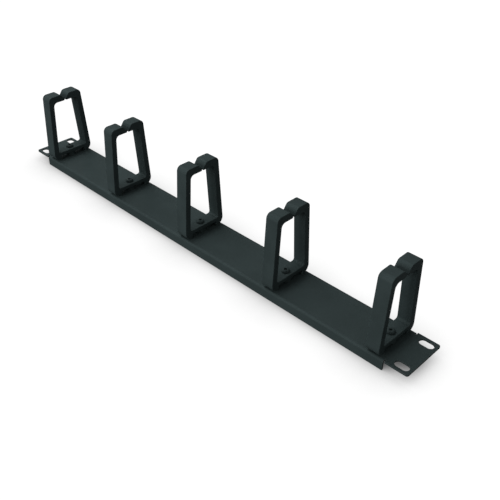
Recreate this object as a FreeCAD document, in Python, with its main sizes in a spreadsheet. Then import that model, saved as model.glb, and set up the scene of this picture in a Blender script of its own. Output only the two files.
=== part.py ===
import FreeCAD, Part
import math
import os
import Sketcher

# Horizontal cable manager for a 19 inch rack: a folded steel panel that carries five
# moulded rings, each held by a screw, a washer and a nut.
# Frame: origin in the middle of the panel's front face, X along the panel,
# Y up the rack, Z out of the rack towards the rings. Millimetres.

# Driving dimensions
SIZES = {
    # Panel, one sheet with a flange folded back along each long edge
    "panel_length": 482.6,
    "panel_width": 43.7,
    "sheet_thickness": 1.5,
    "bend_radius": 0.5,
    "flange_depth": 9.5,
    "ear_length": 21.3,
    "relief_width": 1.2,
    "relief_clearance": 0.4,
    "ear_corner_radius": 2.0,
    # Rack mounting slots, two in each ear, their centres set in from the panel's edges
    "slot_length": 12.4,
    "slot_width": 6.8,
    "slot_inset_x": 8.75,
    "slot_inset_y": 5.975,
    # Rings, a leaning leg on each side and two arms whose ends slope down to a narrow gap
    "ring_count": 5,
    "end_ring_inset": 10.0,
    "ring_band": 12.2,
    "foot_overhang": 1.25,
    "leg_lean": 4.4,
    "ring_height": 70.2,
    "base_thickness": 3.7,
    "leg_thickness": 5.7,
    "arm_thickness": 7.0,
    "ring_gap": 1.2,
    "mouth_width": 9.2,
    "lip_height": 1.6,
    "foot_radius": 7.2,
    "crown_radius": 4.5,
    "inner_foot_radius": 2.0,
    "inner_crown_radius": 4.0,
    "mouth_radius": 3.0,
    "lip_radius": 1.0,
    "edge_radius": 0.5,
    # Each ring's base is a plate that stands clear of the panel on two heels and a round boss
    "arch_height": 4.3,
    "arch_radius": 1.2,
    "heel_width": 1.4,
    "boss_diameter": 10.0,
    # Fixing screws with domed heads, washers and nuts
    "screw_diameter": 4.0,
    "thread_stand_out": 2.5,
    "head_diameter": 7.6,
    "head_height": 2.2,
    "head_round": 1.9,
    "key_size": 2.5,
    "key_depth": 1.3,
    "tip_chamfer": 0.5,
    "hole_clearance": 0.5,
    "washer_diameter": 9.0,
    "washer_thickness": 0.8,
    "washer_clearance": 0.3,
    "nut_width": 7.0,
    "nut_thickness": 3.2,
    "nut_chamfer": 0.4,
    "thread_clearance": 0.2,
}

TOLERANCE = 0.001

document = FreeCAD.newDocument("cable_manager")


# Spreadsheet
def fill_sheet():
    sheet = document.addObject("Spreadsheet::Sheet", "sizes")
    for row, (name, value) in enumerate(SIZES.items(), start=1):
        sheet.set(f"A{row}", name)
        sheet.set(f"B{row}", str(value))
        sheet.setAlias(f"B{row}", name)
    document.recompute()
    return sheet


sizes = fill_sheet()


def value_of(expression):
    """The number that an expression on the sheet's cells gives now."""
    return float(sizes.evalExpression(expression))


# Sketch and feature helpers
def new_body(label):
    body = document.addObject("PartDesign::Body", label)
    body.Label = label
    return body


def origin_part(body, role):
    """The origin plane or axis of a body that has the given role."""
    return next(part for part in body.Origin.OriginFeatures if part.Role == role)


def new_sketch(body, name, plane, lift=None):
    """A sketch on an origin plane of its body, raised along the plane's normal by lift."""
    sketch = body.newObject("Sketcher::SketchObject", name)
    sketch.AttachmentSupport = [(origin_part(body, plane), "")]
    sketch.MapMode = "FlatFace"
    if lift:
        sketch.setExpression("AttachmentOffset.Base.z", lift)
    return sketch


def constrain(sketch, kind, where, expression):
    """Adds a dimension to a sketch and binds it to the sheet."""
    index = sketch.addConstraint(Sketcher.Constraint(kind, *where, value_of(expression)))
    sketch.setExpression(f"Constraints[{index}]", expression)


def pin(sketch, geometry, vertex, across, along):
    """Places one vertex of a sketch at two expressions, measured from the sketch's origin."""
    for kind, axis, expression in (("DistanceX", -2, across), ("DistanceY", -1, along)):
        if abs(value_of(expression)) < TOLERANCE:
            sketch.addConstraint(Sketcher.Constraint("PointOnObject", geometry, vertex, axis))
        else:
            constrain(sketch, kind, (-1, 1, geometry, vertex), expression)


def add_outline(sketch, corners):
    """A closed outline of straight lines through corners given as pairs of expressions."""
    points = [FreeCAD.Vector(value_of(x), value_of(y), 0) for x, y in corners]
    lines = []
    for start, end in zip(points, points[1:] + points[:1]):
        lines.append(sketch.addGeometry(Part.LineSegment(start, end), False))
    for line, following in zip(lines, lines[1:] + lines[:1]):
        sketch.addConstraint(Sketcher.Constraint("Coincident", line, 2, following, 1))
    for line, (x, y) in zip(lines, corners):
        pin(sketch, line, 1, x, y)


def add_circle(sketch, x, y, diameter):
    centre = FreeCAD.Vector(value_of(x), value_of(y), 0)
    normal = FreeCAD.Vector(0, 0, 1)
    circle = Part.Circle(centre, normal, value_of(diameter) / 2)
    index = sketch.addGeometry(circle, False)
    pin(sketch, index, 3, x, y)
    constrain(sketch, "Diameter", (index,), diameter)


def add_hexagon(sketch, width):
    """A hexagon about the origin with two flats along the sketch's first axis."""
    corner = f"{width} / sqrt(3)"
    half_corner = f"{width} / 2 / sqrt(3)"
    flat = f"{width} / 2"
    add_outline(sketch, [
        (corner, "0"), (half_corner, flat), (f"-{half_corner}", flat),
        (f"-{corner}", "0"), (f"-{half_corner}", f"-{flat}"), (half_corner, f"-{flat}")])


def add_slot(sketch, x, y, length, width):
    """A slot with round ends whose length runs along the sketch's first axis."""
    reach = f"({length} - {width}) / 2"
    centres = [f"{x} - {reach}", f"{x} + {reach}"]
    radius = value_of(width) / 2
    middle = value_of(y)
    normal = FreeCAD.Vector(0, 0, 1)
    quarter_turn = math.pi / 2
    ends = []
    for centre, start in zip(centres, (quarter_turn, -quarter_turn)):
        circle = Part.Circle(FreeCAD.Vector(value_of(centre), middle, 0), normal, radius)
        arc = Part.ArcOfCircle(circle, start, start + 2 * quarter_turn)
        ends.append(sketch.addGeometry(arc, False))
    left, right = ends
    sides = []
    for offset in (radius, -radius):
        start = FreeCAD.Vector(value_of(centres[0]), middle + offset, 0)
        end = FreeCAD.Vector(value_of(centres[1]), middle + offset, 0)
        sides.append(sketch.addGeometry(Part.LineSegment(start, end), False))
    upper, lower = sides
    for side, vertex, end, end_vertex in (
            (upper, 1, left, 1), (lower, 1, left, 2), (upper, 2, right, 2), (lower, 2, right, 1)):
        sketch.addConstraint(Sketcher.Constraint("Tangent", side, vertex, end, end_vertex))
    pin(sketch, left, 3, centres[0], y)
    pin(sketch, right, 3, centres[1], y)
    constrain(sketch, "Radius", (left,), f"{width} / 2")


def pad(body, sketch, name, length, symmetric=False, downwards=False):
    feature = body.newObject("PartDesign::Pad", name)
    feature.Profile = sketch
    feature.setExpression("Length", length)
    feature.Midplane = symmetric
    feature.Reversed = downwards
    document.recompute()
    return feature


def pocket(body, sketch, name, depth, upwards=False):
    """Cuts a sketch into its body, and makes sure that it took something away."""
    before = body.Shape.Volume
    feature = body.newObject("PartDesign::Pocket", name)
    feature.Profile = sketch
    feature.setExpression("Length", depth)
    feature.Reversed = upwards
    document.recompute()
    if body.Shape.Volume > before - TOLERANCE:
        raise ValueError(f"{name} cuts nothing")
    return feature


def revolve(body, sketch, name, kind="PartDesign::Revolution"):
    """Turns a sketch once about its body's Z axis, added or, for a Groove, taken away."""
    feature = body.newObject(kind, name)
    feature.Profile = sketch
    feature.ReferenceAxis = (origin_part(body, "Z_Axis"), [""])
    feature.Angle = 360
    document.recompute()
    return feature


def edges_at(shape, axis, first, second):
    """Names of the straight edges along an axis that pass through a point of the other two."""
    others = [index for index in range(3) if index != axis]
    names = []
    for number, edge in enumerate(shape.Edges, start=1):
        if edge.Curve.TypeId != "Part::GeomLine":
            continue
        direction = edge.tangentAt(edge.FirstParameter)
        if abs(abs(direction[axis]) - 1) > TOLERANCE:
            continue
        middle = edge.CenterOfMass
        off_first = abs(middle[others[0]] - value_of(first))
        off_second = abs(middle[others[1]] - value_of(second))
        if max(off_first, off_second) < TOLERANCE:
            names.append(f"Edge{number}")
    return names


def round_edges(body, name, radius, corners, axis):
    """Rounds the edges along an axis that run through the given corners."""
    base = body.Tip
    names = [found for corner in corners for found in edges_at(base.Shape, axis, *corner)]
    if len(names) < len(corners):
        raise ValueError(f"{name} finds too few edges")
    return round_named(body, name, radius, names)


def round_named(body, name, radius, names):
    """Rounds the named edges, or all edges of the named faces, of a body's last feature."""
    base = body.Tip
    feature = body.newObject("PartDesign::Fillet", name)
    feature.Base = (base, names)
    feature.setExpression("Radius", radius)
    document.recompute()
    return feature


def both_sides(corner):
    """A corner and its mirror image across the middle plane."""
    across, along = corner
    return [(across, along), (f"-({across})", along)]


# Positions shared by the pieces. The rings stand evenly spaced between the flanges' ends.
HALF_PANEL = "sizes.panel_width / 2"
FLANGE_END = "(sizes.panel_length / 2 - sizes.ear_length)"
LAST_RING = f"({FLANGE_END} - sizes.end_ring_inset)"
RING_PITCH = f"(2 * {LAST_RING} / (sizes.ring_count - 1))"
BASE_TOP = "(sizes.arch_height + sizes.base_thickness)"
SCREW_LENGTH = (f"({BASE_TOP} + sizes.sheet_thickness + sizes.washer_thickness"
                " + sizes.nut_thickness + sizes.thread_stand_out)")


def place(body, number, height):
    """Puts a body of one ring's set at its ring and at a height above the panel's face."""
    body.setExpression("Placement.Base.x", f"{number - 1} * {RING_PITCH} - {LAST_RING}")
    body.setExpression("Placement.Base.z", height)


# Panel
def make_panel():
    body = new_body("panel")
    inner_side = f"({HALF_PANEL} - sizes.sheet_thickness)"
    section = new_sketch(body, "channel_section", "YZ_Plane")
    add_outline(section, [
        (f"-{HALF_PANEL}", "0"), (HALF_PANEL, "0"),
        (HALF_PANEL, "-sizes.flange_depth"), (inner_side, "-sizes.flange_depth"),
        (inner_side, "-sizes.sheet_thickness"), (f"-{inner_side}", "-sizes.sheet_thickness"),
        (f"-{inner_side}", "-sizes.flange_depth"), (f"-{HALF_PANEL}", "-sizes.flange_depth")])
    pad(body, section, "channel", f"2 * {FLANGE_END}", symmetric=True)
    round_edges(body, "bends_inside", "sizes.bend_radius",
                both_sides((inner_side, "-sizes.sheet_thickness")), axis=0)
    round_edges(body, "bends_outside", "sizes.bend_radius + sizes.sheet_thickness",
                both_sides((HALF_PANEL, "0")), axis=0)

    # Each ear is flat, and a relief notch parts it from the ends of the bends
    notch_side = f"({FLANGE_END} + sizes.relief_width)"
    bend_reach = "(sizes.bend_radius + sizes.sheet_thickness + sizes.relief_clearance)"
    neck = f"({HALF_PANEL} - {bend_reach})"
    ear_end = "sizes.panel_length / 2"
    outline = new_sketch(body, "ear_outline", "XY_Plane")
    add_outline(outline, [
        (FLANGE_END, f"-{neck}"), (notch_side, f"-{neck}"), (notch_side, f"-{HALF_PANEL}"),
        (ear_end, f"-{HALF_PANEL}"), (ear_end, HALF_PANEL), (notch_side, HALF_PANEL),
        (notch_side, neck), (FLANGE_END, neck)])
    ear = pad(body, outline, "ear", "sizes.sheet_thickness", downwards=True)
    slots = new_sketch(body, "slot_outlines", "XY_Plane")
    for side in ("", "-"):
        add_slot(slots, f"{ear_end} - sizes.slot_inset_x",
                 f"{side}({HALF_PANEL} - sizes.slot_inset_y)",
                 "sizes.slot_length", "sizes.slot_width")
    slot_cut = pocket(body, slots, "slots", "sizes.sheet_thickness")
    mirrored = body.newObject("PartDesign::Mirrored", "other_ear")
    mirrored.Originals = [ear, slot_cut]
    mirrored.MirrorPlane = (origin_part(body, "YZ_Plane"), [""])
    body.Tip = mirrored
    document.recompute()
    round_edges(body, "ear_corners", "sizes.ear_corner_radius", [
        (f"{x}{ear_end}", f"{y}{HALF_PANEL}") for x in ("", "-") for y in ("", "-")], axis=2)

    hole = new_sketch(body, "fixing_hole", "XY_Plane")
    add_circle(hole, f"-{LAST_RING}", "0", "sizes.screw_diameter + sizes.hole_clearance")
    first = pocket(body, hole, "fixing_hole_cut", "sizes.sheet_thickness")
    row = body.newObject("PartDesign::LinearPattern", "fixing_holes")
    row.Originals = [first]
    row.Direction = (origin_part(body, "X_Axis"), [""])
    row.setExpression("Length", f"2 * {LAST_RING}")
    row.setExpression("Occurrences", "sizes.ring_count")
    body.Tip = row
    document.recompute()
    return body


# Rings
def half_width(height):
    """Half of a ring's width at a height above the panel, from its leaning legs."""
    lean = f"sizes.leg_lean * ({height}) / sizes.ring_height"
    return f"({HALF_PANEL} + sizes.foot_overhang - {lean})"


def make_ring(number):
    body = new_body(f"ring_{number}")
    top = "sizes.ring_height"
    arm = "(sizes.ring_height - sizes.arm_thickness)"
    gap = "sizes.ring_gap / 2"
    heel = f"({half_width('0')} - sizes.foot_radius - sizes.heel_width)"
    arch = (heel, "sizes.arch_height")
    foot = (half_width("0"), "0")
    crown = (half_width(top), top)
    mouth = ("sizes.mouth_width / 2", top)
    lip = (gap, f"({arm} + sizes.lip_height)")
    inner_crown = (f"({half_width(arm)} - sizes.leg_thickness)", arm)
    inner_foot = (f"({half_width(BASE_TOP)} - sizes.leg_thickness)", BASE_TOP)
    right_side = [arch, (heel, "0"), foot, crown, mouth, lip, (gap, arm), inner_crown, inner_foot]
    left_side = [(f"-{across}", along) for across, along in reversed(right_side)]
    outline = new_sketch(body, f"ring_{number}_outline", "YZ_Plane")
    add_outline(outline, right_side + left_side)
    pad(body, outline, f"ring_{number}_band", "sizes.ring_band", symmetric=True)
    for name, corner in (("arch", arch), ("foot", foot), ("crown", crown),
                         ("inner_foot", inner_foot), ("inner_crown", inner_crown),
                         ("mouth", mouth), ("lip", lip)):
        round_edges(body, f"ring_{number}_{name}", f"sizes.{name}_radius",
                    both_sides(corner), axis=0)
    flanks = [f"Face{index}" for index, face in enumerate(body.Shape.Faces, start=1)
              if abs(abs(face.normalAt(0, 0).x) - 1) < TOLERANCE]
    round_named(body, f"ring_{number}_edges", "sizes.edge_radius", flanks)

    # The boss lets the screw clamp the base without bending its plate
    boss = new_sketch(body, f"ring_{number}_boss_outline", "XY_Plane")
    add_circle(boss, "0", "0", "sizes.boss_diameter")
    pad(body, boss, f"ring_{number}_boss", "sizes.arch_height")
    hole = new_sketch(body, f"ring_{number}_hole", "XY_Plane")
    add_circle(hole, "0", "0", "sizes.screw_diameter + sizes.hole_clearance")
    pocket(body, hole, f"ring_{number}_hole_cut", BASE_TOP, upwards=True)
    place(body, number, "0")
    return body


# Screws, washers and nuts
def make_screw(number):
    """A screw with its head's seat at its own origin and its shank pointing down."""
    body = new_body(f"ring_screw_{number}")
    shank = "sizes.screw_diameter / 2"
    head = "sizes.head_diameter / 2"
    profile = new_sketch(body, f"screw_{number}_profile", "XZ_Plane")
    add_outline(profile, [
        ("0", "sizes.head_height"), ("0", f"-{SCREW_LENGTH}"),
        (shank, f"-{SCREW_LENGTH}"), (shank, "0"), (head, "0"),
        (head, "sizes.head_height")])
    turned = revolve(body, profile, f"screw_{number}_blank")
    crown = round_circles(body, turned, f"screw_{number}_dome", "PartDesign::Fillet",
                          "Radius", "sizes.head_round", "sizes.head_height", head)
    round_circles(body, crown, f"screw_{number}_tip", "PartDesign::Chamfer",
                  "Size", "sizes.tip_chamfer", f"-{SCREW_LENGTH}", shank)
    socket = new_sketch(body, f"screw_{number}_socket", "XY_Plane", lift="sizes.head_height")
    add_hexagon(socket, "sizes.key_size")
    pocket(body, socket, f"screw_{number}_socket_cut", "sizes.key_depth")
    place(body, number, BASE_TOP)
    return body


def round_circles(body, base, name, kind, size_name, size, height, radius):
    """Rounds or chamfers the full circle of a turned body at a height and a radius."""
    for index, edge in enumerate(base.Shape.Edges, start=1):
        if edge.Curve.TypeId != "Part::GeomCircle":
            continue
        if abs(edge.Curve.Center.z - value_of(height)) > TOLERANCE:
            continue
        if abs(edge.Curve.Radius - value_of(radius)) > TOLERANCE:
            continue
        feature = body.newObject(kind, name)
        feature.Base = (base, [f"Edge{index}"])
        feature.setExpression(size_name, size)
        document.recompute()
        return feature
    raise ValueError(f"{name} finds no circle")


def make_washer(number):
    body = new_body(f"washer_{number}")
    ring = new_sketch(body, f"washer_{number}_outline", "XY_Plane")
    add_circle(ring, "0", "0", "sizes.washer_diameter")
    add_circle(ring, "0", "0", "sizes.screw_diameter + sizes.washer_clearance")
    pad(body, ring, f"washer_{number}_disc", "sizes.washer_thickness", downwards=True)
    place(body, number, "-sizes.sheet_thickness")
    return body


def make_nut(number):
    body = new_body(f"nut_{number}")
    outline = new_sketch(body, f"nut_{number}_outline", "XY_Plane")
    add_hexagon(outline, "sizes.nut_width")
    add_circle(outline, "0", "0", "sizes.screw_diameter + sizes.thread_clearance")
    pad(body, outline, f"nut_{number}_blank", "sizes.nut_thickness", downwards=True)
    flat = "sizes.nut_width / 2"
    corner = "(sizes.nut_width / sqrt(3) + sizes.nut_chamfer)"
    foot = "-sizes.nut_thickness"
    corner_cut = new_sketch(body, f"nut_{number}_corner_cut", "XZ_Plane")
    add_outline(corner_cut, [(flat, foot), (corner, foot),
                             (corner, f"({foot} + sizes.nut_chamfer * 1.5)")])
    revolve(body, corner_cut, f"nut_{number}_corners", "PartDesign::Groove")
    place(body, number, "-sizes.sheet_thickness - sizes.washer_thickness")
    return body


# Assembly
def make_all():
    pieces = [make_panel()]
    for number in range(1, int(SIZES["ring_count"]) + 1):
        pieces += [make_ring(number), make_screw(number), make_washer(number), make_nut(number)]
    return pieces


def check_and_export(pieces):
    document.recompute()
    for item in document.Objects:
        if "Invalid" in item.State or "Error" in item.State:
            raise ValueError(f"{item.Label} has the state {item.State}")
    for piece in pieces:
        if piece.Shape.isNull() or not piece.Shape.isValid() or len(piece.Shape.Solids) != 1:
            raise ValueError(f"{piece.Label} is not one valid solid")
    os.makedirs("parts", exist_ok=True)
    for piece in pieces:
        piece.Shape.exportStep(f"parts/{piece.Label}.step")
        box = piece.Shape.BoundBox
        print(f"{piece.Label}: volume {piece.Shape.Volume:.1f}, "
              f"x {box.XMin:.2f} to {box.XMax:.2f}, y {box.YMin:.2f} to {box.YMax:.2f}, "
              f"z {box.ZMin:.2f} to {box.ZMax:.2f}")


check_and_export(make_all())
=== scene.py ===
"""Studio scene of a horizontal rack cable manager: a folded panel, five open rings and their fasteners."""
import logging
import math
from dataclasses import dataclass
from enum import Enum

import bmesh
import bpy
from mathutils import Matrix, Vector


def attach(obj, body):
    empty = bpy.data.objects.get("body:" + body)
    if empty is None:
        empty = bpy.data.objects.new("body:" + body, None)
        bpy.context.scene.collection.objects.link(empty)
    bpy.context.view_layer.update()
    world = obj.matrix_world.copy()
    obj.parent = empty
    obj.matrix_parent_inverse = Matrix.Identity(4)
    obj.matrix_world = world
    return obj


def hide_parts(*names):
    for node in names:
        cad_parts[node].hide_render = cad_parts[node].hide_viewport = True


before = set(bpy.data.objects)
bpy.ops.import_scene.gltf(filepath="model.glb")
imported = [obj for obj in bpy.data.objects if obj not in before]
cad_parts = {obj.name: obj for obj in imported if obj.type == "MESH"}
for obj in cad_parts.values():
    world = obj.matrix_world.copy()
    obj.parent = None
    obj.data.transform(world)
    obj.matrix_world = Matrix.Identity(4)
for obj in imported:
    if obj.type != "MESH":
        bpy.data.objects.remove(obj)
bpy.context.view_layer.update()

MM = 0.001
TOUCHING = 1e-7  # metres within which points count as on one line
SQUARE_SLACK = 0.01  # radians within which an angle counts as square
Tint = tuple[float, float, float]
Colour = tuple[float, float, float, float]
log = logging.getLogger("cable_manager")


class Slot(Enum):
    """Material slots of the part's record."""

    PANEL_PAINT = "panel_paint"
    RING_PLASTIC = "ring_plastic"
    SCREW_BLACK = "screw_black"
    PLATED_STEEL = "plated_steel"


class RayKind(Enum):
    """Kinds of ray that see the pale floor and backdrop as they are painted."""

    CAMERA = "Is Camera Ray"
    GLOSSY = "Is Glossy Ray"
    TRANSMISSION = "Is Transmission Ray"


# Shader building


class ShaderSheet:
    """A node tree with short calls for adding and joining its nodes."""

    def __init__(self, tree: bpy.types.NodeTree) -> None:
        """Empty the tree.

        Args:
            tree: The node tree of a material or a world.
        """
        self.tree = tree
        tree.nodes.clear()

    def add(self, kind: str, inputs: dict | None = None, **settings: object) -> bpy.types.Node:
        """Add a node.

        Args:
            kind: The node's type name.
            inputs: Values or sockets for the node's named or numbered inputs.
            settings: Values for the node's own properties.

        Returns:
            The new node.
        """
        node = self.tree.nodes.new(kind)
        for name, value in settings.items():
            setattr(node, name, value)
        for name, value in (inputs or {}).items():
            if isinstance(value, bpy.types.NodeSocket):
                self.tree.links.new(value, node.inputs[name])
            else:
                node.inputs[name].default_value = value
        return node

    def place(self) -> bpy.types.NodeSocket:
        """The surface's place in the piece's own axes."""
        return self.add("ShaderNodeTexCoord").outputs["Object"]

    def noise(self, place: bpy.types.NodeSocket, grain: float, detail: float = 2.0,
              rough: float = 0.5) -> bpy.types.NodeSocket:
        """Soft noise.

        Args:
            place: The coordinates it reads.
            grain: The size of its spots in metres.
            detail: How many finer layers it has.
            rough: How strong the finer layers are.

        Returns:
            A value from 0 to 1.
        """
        node = self.add("ShaderNodeTexNoise", {
            "Vector": place, "Scale": 1.0 / grain, "Detail": detail, "Roughness": rough})
        return node.outputs["Fac"]

    def band(self, value: bpy.types.NodeSocket, low: float, high: float,
             to_low: float = 0.0, to_high: float = 1.0) -> bpy.types.NodeSocket:
        """Map a value smoothly from one range to another.

        Args:
            value: The value to map.
            low: Where the first range starts.
            high: Where the first range ends.
            to_low: What the start becomes.
            to_high: What the end becomes.

        Returns:
            The mapped value, held within the second range.
        """
        node = self.add("ShaderNodeMapRange", {
            "Value": value, "From Min": low, "From Max": high,
            "To Min": to_low, "To Max": to_high}, interpolation_type="SMOOTHSTEP")
        return node.outputs["Result"]

    def math(self, operation: str, first: object, second: object) -> bpy.types.NodeSocket:
        """Do one sum.

        Args:
            operation: The sum's name, such as ADD.
            first: A value or a socket.
            second: A value or a socket.

        Returns:
            The result.
        """
        node = self.add("ShaderNodeMath", {0: first, 1: second}, operation=operation)
        return node.outputs[0]

    def blend(self, share: bpy.types.NodeSocket, first: object, second: object) -> bpy.types.NodeSocket:
        """Mix two colours.

        Args:
            share: How much of the second colour shows.
            first: A colour or a socket.
            second: A colour or a socket.

        Returns:
            The mixed colour.
        """
        node = self.add("ShaderNodeMix", data_type="RGBA")
        sockets = {"Factor": share, "A": first, "B": second}
        for socket in node.inputs:
            if socket.enabled and socket.name in sockets:
                value = sockets[socket.name]
                if isinstance(value, bpy.types.NodeSocket):
                    self.tree.links.new(value, socket)
                else:
                    socket.default_value = value
        return next(output for output in node.outputs if output.enabled)

    def edges(self, reach: float) -> bpy.types.NodeSocket:
        """How near the surface is to an outward edge.

        Args:
            reach: How far from an edge it still counts, in metres.

        Returns:
            0 on the flat and about 1 on an edge.
        """
        inner = self.add("ShaderNodeAmbientOcclusion", {"Distance": reach}, samples=8, inside=True)
        return self.band(inner.outputs["AO"], 0.5, 0.95, 1.0, 0.0)

    def worn_and_highlit(self, place: bpy.types.NodeSocket, reach: float, patch: float) -> bpy.types.NodeSocket:
        """Where the edges are painted lighter, partly as rubbed wear and partly as a painted highlight.

        Args:
            place: The coordinates it reads.
            reach: How far from an edge the wear and painted highlight go, in metres.
            patch: The size of the lightened patches, in metres.

        Returns:
            0 on the plain surface and 1 where the wear and painted highlight are strongest.
        """
        patches = self.band(self.noise(place, patch, 4.0, 0.65), 0.42, 0.68, 0.15, 1.0)
        return self.math("MULTIPLY", self.edges(reach), patches)

    def bump(self, height: bpy.types.NodeSocket, depth: float,
             under: bpy.types.NodeSocket | None = None) -> bpy.types.NodeSocket:
        """Raise the surface by a height.

        Args:
            height: A value from 0 to 1.
            depth: How high 1 stands, in metres.
            under: The normal of a coarser bump below it.

        Returns:
            The changed normal.
        """
        inputs = {"Height": height, "Distance": depth, "Strength": 1.0}
        if under is not None:
            inputs["Normal"] = under
        return self.add("ShaderNodeBump", inputs).outputs["Normal"]


def new_material(name: str) -> tuple[bpy.types.Material, ShaderSheet]:
    """Start a material.

    Args:
        name: The material's name.

    Returns:
        The material and the sheet of its nodes.
    """
    material = bpy.data.materials.new(name)
    material.use_nodes = True
    return material, ShaderSheet(material.node_tree)


def grey(value: float, tint: Tint = (1.0, 1.0, 1.0)) -> Colour:
    """A colour of one lightness.

    Args:
        value: The lightness.
        tint: How each channel is scaled.

    Returns:
        The colour with full cover.
    """
    return (value * tint[0], value * tint[1], value * tint[2], 1.0)


# Finishes

BLUE_GREEN: Tint = (0.79, 1.10, 1.11)


@dataclass(frozen=True)
class PowderCoat:
    """Satin black powder coat: an orange-peel surface with fine grit and dust, its edges painted lighter,
    partly as thinner coat and partly as a painted highlight.
    """

    name: str = "panel powder coat"
    lightness: float = 0.036
    clouds: tuple[float, float] = (0.93, 1.07)
    dust: float = 2.2
    rubbed_and_highlit: float = 3.4
    tint: Tint = BLUE_GREEN
    roughness: float = 0.52
    sheen: float = 0.03
    cloud_size: float = 45 * MM
    peel_size: float = 1.6 * MM
    peel_depth: float = 0.018 * MM
    grit_size: float = 0.28 * MM
    grit_depth: float = 0.014 * MM
    gloss_size: float = 9 * MM
    wear_and_highlight_reach: float = 0.5 * MM
    wear_and_highlight_patch: float = 7 * MM
    wear_and_highlight: float = 0.55
    polish: float = 0.12

    def material(self) -> bpy.types.Material:
        """Build the finish.

        Returns:
            The material.
        """
        material, sheet = new_material(self.name)
        place = sheet.place()
        cloud = sheet.noise(place, self.cloud_size, 3.0, 0.55)
        peel = sheet.noise(place, self.peel_size, 1.0)
        grit = sheet.noise(place, self.grit_size, 3.0, 0.65)
        base = sheet.blend(sheet.band(cloud, 0.3, 0.7),
                           *(grey(self.lightness * share, self.tint) for share in self.clouds))
        speck = sheet.band(grit, 0.66, 0.78, 0.0, 0.5)
        colour = sheet.blend(speck, base, grey(self.lightness * self.dust, self.tint))
        worn_and_highlit = sheet.worn_and_highlit(place, self.wear_and_highlight_reach, self.wear_and_highlight_patch)
        # Edges painted lighter: partly rubbed wear, partly a painted highlight.
        colour = sheet.blend(sheet.math("MULTIPLY", worn_and_highlit, self.wear_and_highlight), colour,
                             grey(self.lightness * self.rubbed_and_highlit))
        gloss = sheet.band(sheet.noise(place, self.gloss_size, 4.0, 0.6), 0.3, 0.7,
                           self.roughness - 0.05, self.roughness + 0.06)
        gloss = sheet.math("SUBTRACT", gloss, sheet.math("MULTIPLY", worn_and_highlit, self.polish))
        normal = sheet.bump(peel, self.peel_depth)
        normal = sheet.bump(grit, self.grit_depth, normal)
        surface = sheet.add("ShaderNodeBsdfPrincipled", {
            "Base Color": colour, "Roughness": gloss, "Normal": normal, "Specular IOR Level": 0.0,
            "Coat Weight": self.sheen, "Coat Roughness": 0.4, "Coat Normal": normal})
        sheet.add("ShaderNodeOutputMaterial", {"Surface": surface.outputs["BSDF"]})
        return material


@dataclass(frozen=True)
class MouldedPlastic:
    """Black moulded plastic with a spark-eroded grain and faint flow clouds."""

    name: str = "ring plastic"
    lightness: float = 0.036
    clouds: tuple[float, float] = (0.92, 1.08)
    rubbed_and_highlit: float = 2.4
    tint: Tint = BLUE_GREEN
    roughness: float = 0.46
    sheen: float = 0.03
    flow_size: float = 18 * MM
    flow_depth: float = 0.03 * MM
    grain_size: float = 0.34 * MM
    grain_depth: float = 0.016 * MM
    wear_and_highlight_reach: float = 0.9 * MM
    wear_and_highlight_patch: float = 9 * MM
    wear_and_highlight: float = 0.5
    polish: float = 0.1

    def material(self) -> bpy.types.Material:
        """Build the finish.

        Returns:
            The material.
        """
        material, sheet = new_material(self.name)
        place = sheet.place()
        flow = sheet.noise(place, self.flow_size, 3.0, 0.5)
        grain = sheet.noise(place, self.grain_size, 2.0, 0.6)
        colour = sheet.blend(sheet.band(flow, 0.32, 0.68),
                             *(grey(self.lightness * share, self.tint) for share in self.clouds))
        worn_and_highlit = sheet.worn_and_highlit(place, self.wear_and_highlight_reach, self.wear_and_highlight_patch)
        # Edges painted lighter: partly rubbed wear, partly a painted highlight.
        colour = sheet.blend(sheet.math("MULTIPLY", worn_and_highlit, self.wear_and_highlight), colour,
                             grey(self.lightness * self.rubbed_and_highlit, self.tint))
        gloss = sheet.band(flow, 0.3, 0.7, self.roughness - 0.04, self.roughness + 0.05)
        gloss = sheet.math("SUBTRACT", gloss, sheet.math("MULTIPLY", worn_and_highlit, self.polish))
        normal = sheet.bump(flow, self.flow_depth)
        normal = sheet.bump(grain, self.grain_depth, normal)
        surface = sheet.add("ShaderNodeBsdfPrincipled", {
            "Base Color": colour, "Roughness": gloss, "Normal": normal, "Specular IOR Level": 0.0,
            "Coat Weight": self.sheen, "Coat Roughness": 0.4, "Coat Normal": normal})
        sheet.add("ShaderNodeOutputMaterial", {"Surface": surface.outputs["BSDF"]})
        return material


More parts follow.
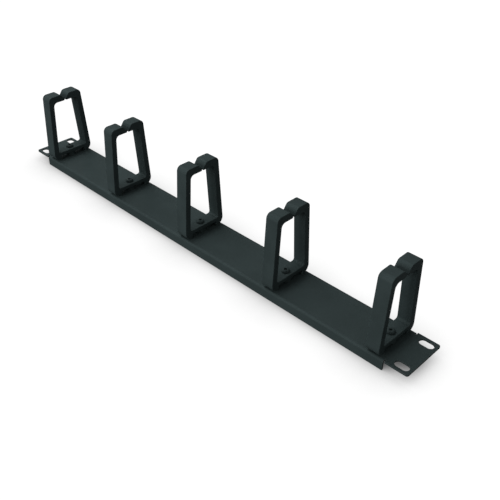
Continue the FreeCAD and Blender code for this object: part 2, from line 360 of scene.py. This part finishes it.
@dataclass(frozen=True)
class BlackedSteel:
    """Blacked steel of the screws, a little smeared, its edges painted lighter, partly as rubbing and partly
    as a painted highlight.
    """

    name: str = "screw blacking"
    lightness: float = 0.032
    clouds: tuple[float, float] = (0.9, 1.12)
    rubbed_and_highlit: float = 2.2
    tint: Tint = BLUE_GREEN
    roughness: float = 0.42
    sheen: float = 0.03
    smear_size: float = 1.4 * MM
    grain_size: float = 0.15 * MM
    grain_depth: float = 0.006 * MM
    wear_and_highlight_reach: float = 0.25 * MM
    wear_and_highlight_patch: float = 0.8 * MM
    wear_and_highlight: float = 0.3

    def material(self) -> bpy.types.Material:
        """Build the finish.

        Returns:
            The material.
        """
        material, sheet = new_material(self.name)
        place = sheet.place()
        smear = sheet.noise(place, self.smear_size, 4.0, 0.6)
        grain = sheet.noise(place, self.grain_size, 2.0)
        colour = sheet.blend(sheet.band(smear, 0.35, 0.7),
                             *(grey(self.lightness * share, self.tint) for share in self.clouds))
        worn_and_highlit = sheet.worn_and_highlit(place, self.wear_and_highlight_reach, self.wear_and_highlight_patch)
        # Edges painted lighter: partly rubbed wear, partly a painted highlight.
        colour = sheet.blend(sheet.math("MULTIPLY", worn_and_highlit, self.wear_and_highlight), colour,
                             grey(self.lightness * self.rubbed_and_highlit, self.tint))
        gloss = sheet.band(smear, 0.3, 0.7, self.roughness - 0.07, self.roughness + 0.1)
        normal = sheet.bump(grain, self.grain_depth)
        surface = sheet.add("ShaderNodeBsdfPrincipled", {
            "Base Color": colour, "Roughness": gloss, "Normal": normal, "Specular IOR Level": 0.0,
            "Coat Weight": self.sheen, "Coat Roughness": 0.3, "Coat Normal": normal})
        sheet.add("ShaderNodeOutputMaterial", {"Surface": surface.outputs["BSDF"]})
        return material


@dataclass(frozen=True)
class ZincPlate:
    """Bright zinc plating of the washers and nuts, slightly cloudy."""

    name: str = "zinc plating"
    bright: Colour = (0.66, 0.67, 0.66, 1.0)
    dull: Colour = (0.44, 0.45, 0.46, 1.0)
    roughness: float = 0.3
    cloud_size: float = 2.2 * MM
    grain_size: float = 0.12 * MM
    grain_depth: float = 0.005 * MM

    def material(self) -> bpy.types.Material:
        """Build the finish.

        Returns:
            The material.
        """
        material, sheet = new_material(self.name)
        place = sheet.place()
        cloud = sheet.noise(place, self.cloud_size, 4.0, 0.6)
        grain = sheet.noise(place, self.grain_size, 2.0)
        colour = sheet.blend(sheet.band(cloud, 0.3, 0.7), self.dull, self.bright)
        gloss = sheet.band(cloud, 0.3, 0.7, self.roughness + 0.12, self.roughness - 0.04)
        surface = sheet.add("ShaderNodeBsdfPrincipled", {
            "Base Color": colour, "Roughness": gloss, "Normal": sheet.bump(grain, self.grain_depth),
            "Metallic": 1.0})
        sheet.add("ShaderNodeOutputMaterial", {"Surface": surface.outputs["BSDF"]})
        return material


# Meshes


def only(kind: type, parts: list) -> list:
    """The parts of one kind.

    Args:
        kind: The kind of part, such as an edge.
        parts: Points, edges and faces.

    Returns:
        Those of the kind, in their order.
    """
    return [part for part in parts if isinstance(part, kind)]


def points_of(edges: list[bmesh.types.BMEdge]) -> list[bmesh.types.BMVert]:
    """The points at the ends of some edges.

    Args:
        edges: The edges.

    Returns:
        Each point once, in the edges' order.
    """
    return list(dict.fromkeys(vert for edge in edges for vert in edge.verts))


def ring_of_points(work: bmesh.types.BMesh, middle: Vector, radius: float, sides: int,
                   cuts: int = 0, turn: float = 0.0) -> list[bmesh.types.BMEdge]:
    """Add a level ring of edges.

    Args:
        work: The mesh to add to.
        middle: Its middle, in millimetres.
        radius: The distance from the middle to its corners, in millimetres.
        sides: How many corners it has.
        cuts: How many points divide each side.
        turn: How far it is turned, in degrees.

    Returns:
        Its edges.
    """
    place = Matrix.Translation(middle * MM) @ Matrix.Rotation(math.radians(turn), 4, "Z")
    made = bmesh.ops.create_circle(work, cap_ends=False, segments=sides, radius=radius * MM, matrix=place)
    edges = list(dict.fromkeys(edge for vert in made["verts"] for edge in vert.link_edges))
    if cuts:
        split = bmesh.ops.subdivide_edges(work, edges=edges, cuts=cuts)["geom_split"]
        edges = only(bmesh.types.BMEdge, split)
    return edges


def set_hexagon(edges: list[bmesh.types.BMEdge], middle: Vector, apothem: float) -> None:
    """Move a ring of points in or out onto a hexagon with corners across the part.

    Args:
        edges: The ring's edges.
        middle: Its middle, in millimetres.
        apothem: The distance from the middle to each flat, in millimetres.
    """
    sixth = math.radians(60)
    for vert in points_of(edges):
        reach = vert.co.xy - middle.xy * MM
        off_flat = (math.atan2(reach.y, reach.x) + sixth / 2) % sixth - sixth / 2
        vert.co.xy = middle.xy * MM + reach.normalized() * apothem / math.cos(off_flat) * MM


def drawn_edges(work: bmesh.types.BMesh, edges: list[bmesh.types.BMEdge],
                by: Vector) -> list[bmesh.types.BMEdge]:
    """Draw edges out into walls.

    Args:
        work: The mesh.
        edges: The edges to draw.
        by: How far and which way, in millimetres.

    Returns:
        The far edges of the walls.
    """
    drawn = bmesh.ops.extrude_edge_only(work, edges=edges)["geom"]
    verts = only(bmesh.types.BMVert, drawn)
    bmesh.ops.translate(work, verts=verts, vec=by * MM)
    return [edge for edge in only(bmesh.types.BMEdge, drawn) if all(vert in verts for vert in edge.verts)]


def turned(work: bmesh.types.BMesh, profile: list[tuple[float, float]], middle: Vector, steps: int,
           closed: bool = False) -> list[bmesh.types.BMEdge]:
    """Turn a profile about an upright line.

    Args:
        work: The mesh to add to.
        profile: The radius and height of each corner above the middle, in millimetres.
        middle: The foot of the line, in millimetres.
        steps: How many steps the full turn has.
        closed: Whether the last corner joins the first.

    Returns:
        The open rims of the turned wall.
    """
    before = set(work.edges)
    verts = [work.verts.new((middle + Vector((radius, 0.0, height))) * MM) for radius, height in profile]
    pairs = list(zip(verts, verts[1:])) + ([(verts[-1], verts[0])] if closed else [])
    edges = [work.edges.new(pair) for pair in pairs]
    bmesh.ops.spin(work, geom=verts + edges, cent=middle * MM, axis=(0, 0, 1), dvec=(0, 0, 0),
                   angle=math.tau, steps=steps, use_merge=True, use_duplicate=False)
    return [edge for edge in work.edges if edge not in before and edge.is_boundary]


def to_mesh(work: bmesh.types.BMesh, name: str) -> bpy.types.Mesh:
    """Close a piece's work and make its mesh.

    Args:
        work: The work, which is freed.
        name: The mesh's name.

    Returns:
        The mesh, smooth, with its faces outwards.
    """
    bmesh.ops.recalc_face_normals(work, faces=work.faces[:])
    for face in work.faces:
        face.smooth = True
    mesh = bpy.data.meshes.new(name)
    work.to_mesh(mesh)
    work.free()
    return mesh


def finished(name: str, mesh: bpy.types.Mesh, sharp_degrees: float = 35.0) -> bpy.types.Object:
    """Put a mesh into the scene with clean shading.

    Args:
        name: The piece's name.
        mesh: Its mesh, in place.
        sharp_degrees: The angle past which an edge stays sharp.

    Returns:
        The piece.
    """
    mesh.name = name
    mesh.set_sharp_from_angle(angle=math.radians(sharp_degrees))
    piece = bpy.data.objects.new(name, mesh)
    bpy.context.scene.collection.objects.link(piece)
    weighted = piece.modifiers.new("even shading", "WEIGHTED_NORMAL")
    weighted.keep_sharp = True
    return piece


def fit_out(piece: bpy.types.Object, node: str, material: bpy.types.Material) -> None:
    """Dress a piece and put it in its node's place.

    Args:
        piece: The piece.
        node: The node that it stands for.
        material: Its finish.
    """
    piece.data.materials.clear()
    piece.data.materials.append(material)
    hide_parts(node)
    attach(piece, "root")
    log.info("%s stands for %s with %d faces", piece.name, node, len(piece.data.polygons))


@dataclass
class Panel:
    """The folded steel panel. Sizes are in millimetres."""

    length: float = 482.6
    width: float = 43.7
    sheet: float = 1.5
    bend_radius: float = 0.5
    flange_depth: float = 9.5
    ear_length: float = 21.3
    relief_width: float = 1.2
    relief_clearance: float = 0.4
    corner_radius: float = 2.0
    slot_length: float = 12.4
    slot_width: float = 6.8
    slot_inset_x: float = 8.75
    slot_inset_y: float = 5.975
    hole_width: float = 4.5
    hole_count: int = 5
    hole_pitch: float = 105.0
    edge: float = 0.16
    edge_steps: int = 2
    rim_degrees: float = 50.0
    corner_steps: int = 8
    bend_steps: int = 8
    hole_steps: int = 32
    slot_steps: int = 40
    finish: PowderCoat = PowderCoat()

    def outline(self) -> list[tuple[float, float]]:
        """The corners of the flat face between the bends, with both ears."""
        bend = self.width / 2 - self.bend_radius - self.sheet
        neck = bend - self.relief_clearance
        flange_end = self.length / 2 - self.ear_length
        notch = flange_end + self.relief_width
        quarter = [(flange_end, bend), (flange_end, neck), (notch, neck), (notch, self.width / 2),
                   (self.length / 2, self.width / 2)]
        right = [(x, -y) for x, y in quarter] + quarter[::-1]
        return right + [(-x, -y) for x, y in right]

    def add_face(self, work: bmesh.types.BMesh) -> None:
        """Lay the flat face, with its rounded ear corners, slots and fixing holes.

        Args:
            work: The panel's mesh.
        """
        points = [work.verts.new(Vector((x, y, 0.0)) * MM) for x, y in self.outline()]
        work.faces.new(points)
        ends = [vert for vert in points if abs(abs(vert.co.x) - self.length / 2 * MM) < TOUCHING]
        bmesh.ops.bevel(work, geom=ends, offset=self.corner_radius * MM, offset_type="OFFSET",
                        segments=self.corner_steps, profile=0.5, affect="VERTICES", material=-1)
        bmesh.ops.delete(work, geom=work.faces[:], context="FACES_ONLY")
        for number in range(self.hole_count):
            middle = Vector(((number - (self.hole_count - 1) / 2) * self.hole_pitch, 0.0, 0.0))
            ring_of_points(work, middle, self.hole_width / 2, self.hole_steps)
        for side in (-1, 1):
            for level in (-1, 1):
                self.add_slot(work, side * (self.length / 2 - self.slot_inset_x),
                              level * (self.width / 2 - self.slot_inset_y))
        bmesh.ops.triangle_fill(work, edges=work.edges[:], use_beauty=True, use_dissolve=False,
                                normal=(0, 0, 1))

    def add_slot(self, work: bmesh.types.BMesh, x: float, y: float) -> None:
        """Outline one rack slot: a circle whose halves are drawn apart.

        Args:
            work: The panel's mesh.
            x: Its middle along the panel.
            y: Its middle across the panel.
        """
        rim = ring_of_points(work, Vector((x, y, 0.0)), self.slot_width / 2, self.slot_steps,
                             turn=180 / self.slot_steps)
        verts = points_of(rim)
        reach = (self.slot_length - self.slot_width) / 2
        for way in (-1, 1):
            half = [vert for vert in verts if (vert.co.x - x * MM) * way > 0]
            bmesh.ops.translate(work, verts=half, vec=(way * reach * MM, 0, 0))

    def fold(self, work: bmesh.types.BMesh, side: int) -> None:
        """Fold one flange back.

        Args:
            work: The panel's mesh.
            side: Which long edge, 1 or -1.
        """
        radius = self.bend_radius + self.sheet
        line = side * (self.width / 2 - radius) * MM
        edges = [edge for edge in work.edges if all(abs(vert.co.y - line) < TOUCHING for vert in edge.verts)]
        bent = bmesh.ops.spin(work, geom=points_of(edges) + edges, cent=(0, line, -radius * MM),
                              axis=(1, 0, 0), dvec=(0, 0, 0), angle=-side * math.pi / 2,
                              steps=self.bend_steps, use_merge=False, use_duplicate=False)
        rim = only(bmesh.types.BMEdge, bent["geom_last"])
        drawn_edges(work, rim, Vector((0.0, 0.0, radius - self.flange_depth)))

    def mesh(self) -> bpy.types.Mesh:
        """Shape the panel: a face with folded flanges, thickened to a sheet, with softened edges.

        Returns:
            The mesh, in place.
        """
        work = bmesh.new()
        self.add_face(work)
        for side in (-1, 1):
            self.fold(work, side)
        bmesh.ops.recalc_face_normals(work, faces=work.faces[:])
        top = max(work.faces, key=lambda face: face.calc_center_median().z)
        if top.normal.z < 0:
            bmesh.ops.reverse_faces(work, faces=work.faces[:])
        bmesh.ops.solidify(work, geom=work.faces[:], thickness=self.sheet * MM)
        bmesh.ops.recalc_face_normals(work, faces=work.faces[:])
        rims = [edge for edge in work.edges if edge.calc_face_angle(0.0) > math.radians(self.rim_degrees)]
        bmesh.ops.bevel(work, geom=rims, offset=self.edge * MM, offset_type="OFFSET",
                        segments=self.edge_steps, profile=0.5, affect="EDGES", material=-1,
                        clamp_overlap=True)
        return to_mesh(work, "panel_visual")

    def build(self) -> None:
        """Make and dress the panel."""
        fit_out(finished("panel_visual", self.mesh()), "panel", self.finish.material())


@dataclass
class RingRow:
    """The five moulded rings. Sizes are in millimetres, and the boss's sink is a share of the base."""

    count: int = 5
    pitch: float = 105.0
    band: float = 12.2
    height: float = 70.2
    foot_half_width: float = 23.1
    lean: float = 4.4
    arch_height: float = 4.3
    arch_radius: float = 1.2
    heel_width: float = 1.4
    boss_width: float = 10.0
    boss_sink: float = 0.25
    base: float = 3.7
    leg: float = 5.7
    arm: float = 7.0
    gap: float = 1.2
    mouth: float = 9.2
    lip_height: float = 1.6
    foot_radius: float = 7.2
    crown_radius: float = 4.5
    inner_foot_radius: float = 2.0
    inner_crown_radius: float = 4.0
    mouth_radius: float = 3.0
    lip_radius: float = 1.0
    tip_radius: float = 0.8
    heel_radius: float = 0.7
    edge: float = 0.5
    steps_per_mm: float = 2.2
    least_steps: int = 3
    edge_steps: int = 4
    boss_steps: int = 48
    finish: MouldedPlastic = MouldedPlastic()

    def half_width(self, height: float) -> float:
        """Half of a ring's width at a height above the panel.

        Args:
            height: The height.

        Returns:
            The half width, which shrinks upwards because the legs lean.
        """
        return self.foot_half_width - self.lean * height / self.height

    def corners(self) -> list[tuple[float, float, float]]:
        """The corners of one half of the outline.

        Returns:
            The distance from the middle, the height and the rounding of each corner, from the arch under
            the base round to the base's top.
        """
        under_arm = self.height - self.arm
        base_top = self.arch_height + self.base
        heel = self.foot_half_width - self.foot_radius - self.heel_width
        return [
            (heel, self.arch_height, self.arch_radius),
            (heel, 0.0, self.heel_radius),
            (self.foot_half_width, 0.0, self.foot_radius),
            (self.half_width(self.height), self.height, self.crown_radius),
            (self.mouth / 2, self.height, self.mouth_radius),
            (self.gap / 2, under_arm + self.lip_height, self.lip_radius),
            (self.gap / 2, under_arm, self.tip_radius),
            (self.half_width(under_arm) - self.leg, under_arm, self.inner_crown_radius),
            (self.half_width(base_top) - self.leg, base_top, self.inner_foot_radius),
        ]

    def mesh(self, number: int) -> bpy.types.Mesh:
        """Shape one ring: a rounded outline drawn out to the band's width, with soft edges.

        Args:
            number: The ring's number, from 1 at the left.

        Returns:
            The mesh, in place.
        """
        middle = (number - (self.count + 1) / 2) * self.pitch
        side = middle - self.band / 2
        half = self.corners()
        outline = half + [(-across, height, radius) for across, height, radius in reversed(half)]
        work = bmesh.new()
        points = [work.verts.new(Vector((side, across, height)) * MM) for across, height, _ in outline]
        work.faces.new(points)
        for index, (point, corner) in enumerate(zip(points, outline)):
            before = Vector(outline[index - 1][:2]) - Vector(corner[:2])
            after = Vector(outline[(index + 1) % len(outline)][:2]) - Vector(corner[:2])
            reach = corner[2] / math.tan(before.angle(after) / 2)
            bmesh.ops.bevel(work, geom=[point], offset=reach * MM, offset_type="OFFSET",
                            segments=max(self.least_steps, round(corner[2] * self.steps_per_mm)),
                            profile=0.5, affect="VERTICES", material=-1)
        drawn = bmesh.ops.extrude_face_region(work, geom=work.faces[:])["geom"]
        bmesh.ops.translate(work, verts=only(bmesh.types.BMVert, drawn), vec=(self.band * MM, 0, 0))
        bmesh.ops.recalc_face_normals(work, faces=work.faces[:])
        rims = [edge for edge in work.edges
                if abs(edge.calc_face_angle(0.0) - math.pi / 2) < SQUARE_SLACK
                and abs((edge.verts[0].co - edge.verts[1].co).x) < TOUCHING]
        bmesh.ops.bevel(work, geom=rims, offset=self.edge * MM, offset_type="OFFSET",
                        segments=self.edge_steps, profile=0.5, affect="EDGES", material=-1)
        self.add_boss(work, middle)
        return to_mesh(work, f"ring_{number}_visual")

    def add_boss(self, work: bmesh.types.BMesh, middle: float) -> None:
        """Add the round boss that carries the base's plate at the screw.

        Args:
            work: The ring's mesh so far.
            middle: The ring's place along the panel.
        """
        height = self.arch_height + self.base * self.boss_sink
        radius = self.boss_width / 2 * MM
        bmesh.ops.create_cone(
            work, cap_ends=True, segments=self.boss_steps, radius1=radius, radius2=radius,
            depth=height * MM, matrix=Matrix.Translation(Vector((middle, 0.0, height / 2)) * MM))

    def build(self) -> None:
        """Make and dress each ring."""
        material = self.finish.material()
        for number in range(1, self.count + 1):
            piece = finished(f"ring_{number}_visual", self.mesh(number))
            fit_out(piece, f"ring_{number}", material)


@dataclass
class Fasteners:
    """The screws, washers and nuts that hold the rings.

    Sizes are in millimetres. The ridge's half width and half crest are shares of the thread's pitch.
    """

    count: int = 5
    pitch: float = 105.0
    seat: float = 8.0
    length: float = 16.0
    shank: float = 4.0
    head_width: float = 7.6
    head_height: float = 2.2
    head_round: float = 1.9
    key_width: float = 2.5
    key_depth: float = 1.3
    key_lead: float = 0.12
    tip: float = 0.45
    thread_pitch: float = 0.7
    thread_depth: float = 0.38
    thread_root: float = 0.1
    thread_turns: int = 6
    ridge_half: float = 0.44
    ridge_crest: float = 0.07
    ridge_turns: int = 4
    ridge_steps: int = 32
    seat_edge: float = 0.08
    run_out: float = 0.25
    dome_steps: int = 10
    washer_width: float = 9.0
    washer_bore: float = 4.3
    washer_height: float = 0.8
    washer_edge: float = 0.12
    washer_drop: float = 0.192
    nut_width: float = 7.0
    nut_bore: float = 4.2
    nut_height: float = 3.2
    nut_land: float = 3.3
    nut_lead: float = 0.22
    nut_chamfer_degrees: float = 30.0
    sheet: float = 1.5
    steps: int = 48
    washer_steps: int = 64
    sharp_degrees: float = 28.0
    blacking: BlackedSteel = BlackedSteel()
    plating: ZincPlate = ZincPlate()

    def screw(self, middle: Vector) -> bpy.types.Mesh:
        """Shape a screw: a domed head with a hexagon socket, a shank and the thread that shows.

        Args:
            middle: The middle of the head's seat.

        Returns:
            The mesh, in place.
        """
        work = bmesh.new()
        crown = self.head_width / 2 - self.head_round
        side = self.head_height - self.head_round
        dome = [(crown + self.head_round * math.sin(angle), side + self.head_round * math.cos(angle))
                for angle in (math.pi / 2 * step / self.dome_steps for step in range(self.dome_steps + 1))]
        core = self.shank / 2 - self.thread_depth
        plain = self.length - self.thread_pitch * self.thread_turns
        profile = dome + [
            (self.head_width / 2, self.seat_edge), (self.head_width / 2 - self.seat_edge, 0.0),
            (self.shank / 2, 0.0), (self.shank / 2, self.run_out - plain), (core, -plain),
            (core, self.tip - self.length), (core - self.tip, -self.length)]
        rims = turned(work, profile, middle, self.steps)
        upper = [edge for edge in rims if edge.verts[0].co.z > middle.z * MM]
        bmesh.ops.holes_fill(work, edges=[edge for edge in rims if edge not in upper], sides=0)
        key = self.key_width / 2
        mouth = drawn_edges(work, upper, Vector())
        set_hexagon(mouth, middle, key + self.key_lead)
        wall = drawn_edges(work, mouth, Vector((0.0, 0.0, -self.key_lead)))
        set_hexagon(wall, middle, key)
        floor = drawn_edges(work, wall, Vector((0.0, 0.0, self.key_lead - self.key_depth)))
        filled = bmesh.ops.holes_fill(work, edges=floor, sides=0)["faces"]
        bmesh.ops.poke(work, faces=filled)
        self.add_thread(work, middle, core)
        return to_mesh(work, "ring_screw_visual")

    def add_thread(self, work: bmesh.types.BMesh, middle: Vector, core: float) -> None:
        """Wind the thread's ridge round the screw's lower end.

        Args:
            work: The screw's mesh.
            middle: The middle of the head's seat.
            core: The radius at the thread's root.
        """
        low = -self.length + self.tip
        half, crest = self.thread_pitch * self.ridge_half, self.thread_pitch * self.ridge_crest
        corners = [(core - self.thread_root, low), (self.shank / 2, low + half - crest),
                   (self.shank / 2, low + half + crest), (core - self.thread_root, low + 2 * half)]
        verts = [work.verts.new((middle + Vector((radius, 0.0, height))) * MM) for radius, height in corners]
        face = work.faces.new(verts)
        rise = Vector((0.0, 0.0, self.thread_pitch / self.ridge_steps))
        bmesh.ops.spin(work, geom=[face, *face.edges, *face.verts], cent=middle * MM, axis=(0, 0, 1),
                       dvec=rise * MM, angle=math.tau * self.ridge_turns,
                       steps=self.ridge_turns * self.ridge_steps, use_merge=False, use_duplicate=False)

    def washer(self, middle: Vector) -> bpy.types.Mesh:
        """Shape a washer: a flat ring with one rounded edge, as a punch leaves it.

        Args:
            middle: The middle of its upper face.

        Returns:
            The mesh, in place.
        """
        work = bmesh.new()
        outer, inner, foot = self.washer_width / 2, self.washer_bore / 2, -self.washer_height
        soft, small, drop = self.washer_edge, self.washer_edge / 2, self.washer_drop
        profile = [(inner + small, 0.0), (outer - small, 0.0), (outer, -small), (outer, foot + drop),
                   (outer - small, foot + small), (outer - drop, foot), (inner + soft, foot),
                   (inner, foot + soft), (inner, -small)]
        turned(work, profile, middle, self.washer_steps, closed=True)
        return to_mesh(work, "washer_visual")

    def nut(self, middle: Vector) -> bpy.types.Mesh:
        """Shape a nut: a hexagon with chamfered corners and a countersunk bore.

        Args:
            middle: The middle of its upper face.

        Returns:
            The mesh, in place.
        """
        work = bmesh.new()
        cuts = self.steps // 6 - 1
        corner = self.nut_width / math.sqrt(3)
        bore, lead, foot = self.nut_bore / 2, self.nut_lead, -self.nut_height
        rims = turned(work, [(self.nut_land, 0.0), (bore + lead, 0.0), (bore, -lead), (bore, foot + lead),
                             (bore + lead, foot), (self.nut_land, foot)], middle, self.steps)
        upper = ring_of_points(work, middle, corner, 6, cuts, turn=30.0)
        lower = drawn_edges(work, upper, Vector((0.0, 0.0, foot)))
        level = (middle.z + foot / 2) * MM
        for rim, way in ((upper, 1), (lower, -1)):
            for vert in points_of(rim):
                past = (vert.co.xy - middle.xy * MM).length - self.nut_land * MM
                vert.co.z -= way * past * math.tan(math.radians(self.nut_chamfer_degrees))
            land = [edge for edge in rims if (edge.verts[0].co.z - level) * way > 0]
            bmesh.ops.bridge_loops(work, edges=rim + land)
        return to_mesh(work, "nut_visual")

    def build(self) -> None:
        """Make and dress each set."""
        black = self.blacking.material()
        zinc = self.plating.material()
        for number in range(1, self.count + 1):
            across = (number - (self.count + 1) / 2) * self.pitch
            below = Vector((across, 0.0, -self.sheet))
            under = below - Vector((0.0, 0.0, self.washer_height))
            for stem, mesh, slot, material in (
                    ("ring_screw", self.screw(Vector((across, 0.0, self.seat))), Slot.SCREW_BLACK, black),
                    ("washer", self.washer(below), Slot.PLATED_STEEL, zinc),
                    ("nut", self.nut(under), Slot.PLATED_STEEL, zinc)):
                piece = finished(f"{stem}_{number}_visual", mesh, self.sharp_degrees)
                fit_out(piece, f"{stem}_{number}", material)


# Studio


@dataclass(frozen=True)
class Softbox:
    """A square soft lamp that looks at the part. Its sizes are in metres and its power in watts."""

    name: str
    towards: tuple[float, float, float]
    distance: float
    size: float
    power: float


@dataclass
class Studio:
    """A pale floor with soft light from the front, from above and from the left."""

    floor_height: float = -9.5 * MM
    floor_size: float = 40.0
    floor_glow: float = 1.065
    floor_bounce: float = 0.08
    shadow_reach: float = 75 * MM
    shadow_samples: int = 24
    ambient: float = 0.24
    lamps: tuple[Softbox, ...] = (
        Softbox("front left", (-0.35, -1.0, 0.3), 3.0, 1.2, 38.0),
        Softbox("front", (0.0, -1.0, 0.3), 3.0, 1.2, 28.5),
        Softbox("overhead", (-0.5, -0.2, 1.0), 1.2, 1.0, 6.4),
        Softbox("back left", (-0.315, 0.48, 0.818), 1.6, 0.9, 3.9),
        Softbox("left", (-0.8, 0.1, 0.6), 1.2, 0.8, 7.1),
        Softbox("right", (1.0, -0.3, 0.4), 2.0, 1.0, 2.8),
    )

    def build(self) -> None:
        """Make the floor, the world and the lamps."""
        self.lay_floor()
        self.paint_world()
        for lamp in self.lamps:
            self.hang(lamp)

    def lay_floor(self) -> None:
        """Make the floor, which shows white, darkened near the part by a painted shade taken from ambient
        occlusion.
        """
        work = bmesh.new()
        bmesh.ops.create_grid(work, x_segments=1, y_segments=1, size=self.floor_size / 2,
                              matrix=Matrix.Translation((0, 0, self.floor_height)))
        mesh = bpy.data.meshes.new("floor")
        work.to_mesh(mesh)
        work.free()
        floor = bpy.data.objects.new("floor", mesh)
        bpy.context.scene.collection.objects.link(floor)
        material, sheet = new_material("pale floor")
        # Painted shade: ambient occlusion near the part darkens the floor's white glow, standing in for its
        # shadow.
        painted_contact_shade = sheet.add("ShaderNodeAmbientOcclusion", {"Distance": self.shadow_reach},
                            samples=self.shadow_samples)
        shade = sheet.math("MULTIPLY", painted_contact_shade.outputs["AO"], self.floor_glow)
        white = sheet.add("ShaderNodeEmission", {"Color": grey(1.0), "Strength": shade})
        matt = sheet.add("ShaderNodeBsdfDiffuse", {"Color": grey(self.floor_bounce)})
        mixed = sheet.add("ShaderNodeMixShader", {
            0: self.seen(sheet), 1: matt.outputs[0], 2: white.outputs[0]})
        sheet.add("ShaderNodeOutputMaterial", {"Surface": mixed.outputs[0]})
        mesh.materials.append(material)

    def seen(self, sheet: ShaderSheet) -> bpy.types.NodeSocket:
        """Whether the camera, a reflection or clear material sees the surface.

        Args:
            sheet: The nodes to add to.

        Returns:
            1 where it is seen, and 0 where it only lights the part.
        """
        rays = sheet.add("ShaderNodeLightPath")
        total = rays.outputs[RayKind.CAMERA.value]
        for kind in (RayKind.GLOSSY, RayKind.TRANSMISSION):
            total = sheet.math("MAXIMUM", total, rays.outputs[kind.value])
        return total

    def paint_world(self) -> None:
        """Make the world white where it is seen, and dim as a light."""
        world = bpy.data.worlds.new("pale studio")
        world.use_nodes = True
        bpy.context.scene.world = world
        sheet = ShaderSheet(world.node_tree)
        strength = sheet.band(self.seen(sheet), 0.0, 1.0, self.ambient, 1.0)
        back = sheet.add("ShaderNodeBackground", {"Color": grey(1.0), "Strength": strength})
        sheet.add("ShaderNodeOutputWorld", {"Surface": back.outputs[0]})

    def hang(self, softbox: Softbox) -> None:
        """Hang a lamp.

        Args:
            softbox: The lamp's name, place and light.
        """
        lamp = bpy.data.lights.new(softbox.name, "AREA")
        lamp.shape = "SQUARE"
        lamp.size = softbox.size
        lamp.energy = softbox.power
        holder = bpy.data.objects.new(softbox.name, lamp)
        direction = Vector(softbox.towards).normalized()
        turn = direction.to_track_quat("Z", "Y").to_matrix().to_4x4()
        holder.matrix_world = Matrix.Translation(direction * softbox.distance) @ turn
        bpy.context.scene.collection.objects.link(holder)


@dataclass
class Viewpoint:
    """The camera, at the photograph's place."""

    place: tuple[float, float, float] = (0.40549, -0.35165, 0.35921)
    azimuth: float = 44.356
    elevation: float = 35.648
    roll: float = 0.426
    lens: float = 50.42
    sensor: float = 36.0
    nearest: float = 0.01
    shift: tuple[float, float] = (0.0034, 0.0018)

    def build(self) -> None:
        """Make the camera and give it to the scene."""
        turn, rise, tip = (math.radians(angle) for angle in (self.azimuth, self.elevation, self.roll))
        back = Vector((math.sin(turn) * math.cos(rise), -math.cos(turn) * math.cos(rise), math.sin(rise)))
        level = Vector((math.cos(turn), math.sin(turn), 0.0))
        upright = back.cross(level)
        right = math.cos(tip) * level + math.sin(tip) * upright
        up = math.cos(tip) * upright - math.sin(tip) * level
        data = bpy.data.cameras.new("camera")
        data.lens = self.lens
        data.sensor_width = self.sensor
        data.shift_x, data.shift_y = self.shift
        data.clip_start = self.nearest
        camera = bpy.data.objects.new("camera", data)
        axes = Matrix((right, up, back)).transposed().to_4x4()
        camera.matrix_world = Matrix.Translation(self.place) @ axes
        bpy.context.scene.collection.objects.link(camera)
        bpy.context.scene.camera = camera


def corners(box: object) -> list[list[float]]:
    """A box as plain numbers.

    Args:
        box: Its lowest and highest corners.

    Returns:
        The two corners as lists.
    """
    return [[float(value) for value in corner] for corner in box]


def main() -> None:
    """Build the scene."""
    logging.basicConfig(level=logging.INFO, format="%(message)s")
    bpy.context.scene.view_settings.view_transform = "Standard"
    for assembly in (Viewpoint(), Studio(), Panel(), RingRow(), Fasteners()):
        assembly.build()
        log.info("%s built", type(assembly).__name__)


if __name__ == "__main__":
    main()
